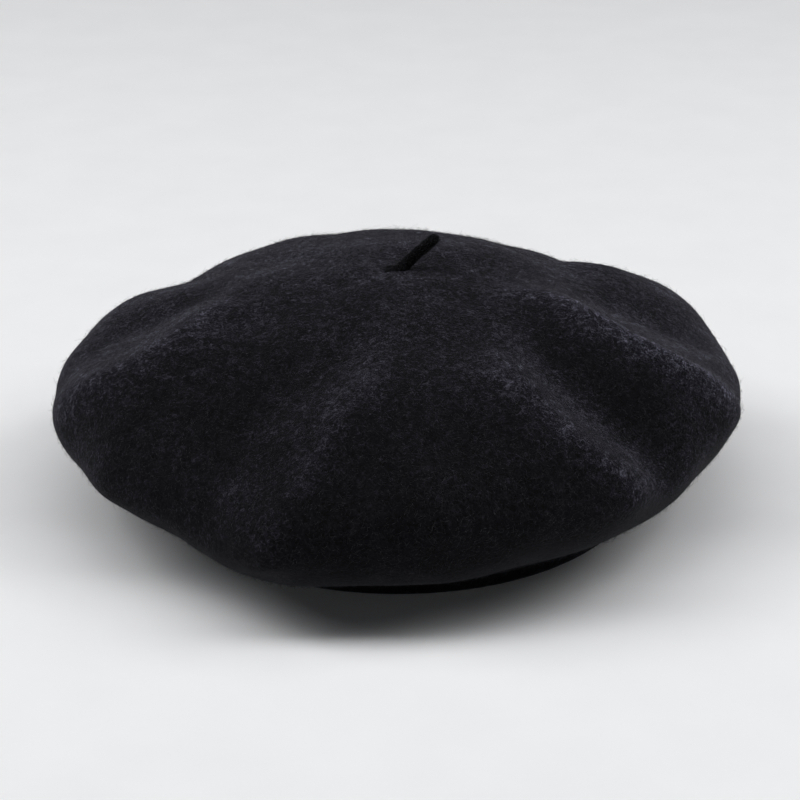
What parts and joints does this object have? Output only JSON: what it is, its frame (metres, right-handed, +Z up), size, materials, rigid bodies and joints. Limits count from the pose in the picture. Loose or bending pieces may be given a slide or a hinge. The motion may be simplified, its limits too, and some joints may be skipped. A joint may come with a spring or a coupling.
{
  "type": "beret",
  "caption": "Fulled wool beret with a soft waved edge, a short felted stem, a ribbon sweatband round its head opening and sewn labels inside the crown.",
  "frame": {"origin": "centre of the head opening, on the plane that the beret rests on", "axes": "+Z up through the root of the stem, -Y towards the front (forehead), +X towards the side the stem leans to"},
  "size_m": [0.2535, 0.2447, 0.099],
  "materials": {
    "wool_felt": "fulled wool felt, matte, with short loose fibres",
    "stem_felt": "tight fulled wool cord",
    "grosgrain": "ribbed grosgrain ribbon, slight sheen",
    "thread": "spun polyester thread",
    "woven_label": "blank damask-woven label",
    "satin_label": "blank satin care label"
  },
  "bodies": {
    "crown": {"felt_crown": "wool_felt", "stem_anchor_thread": "thread", "sweatband": "grosgrain", "sweatband_hem_stitches": "thread", "sweatband_lap_stitches": "thread", "maker_label": "woven_label", "maker_label_stitches": "thread"},
    "stem": {"stem": "stem_felt"},
    "care_label": {"care_label": "satin_label"}
  },
  "joints": [
    {"name": "stem_flex", "type": "hinge", "parent": "crown", "child": "stem", "pos_m": [0, 0, 0.08764], "axis": [0, 1, 0], "range_deg": [-115, 25], "stiffness_Nm_per_rad": 0.0005},
    {"name": "care_label_swing", "type": "hinge", "parent": "crown", "child": "care_label", "pos_m": [0, 0.0116, 0.08169], "axis": [1, 0, 0], "range_deg": [-75, 75]}
  ]
}
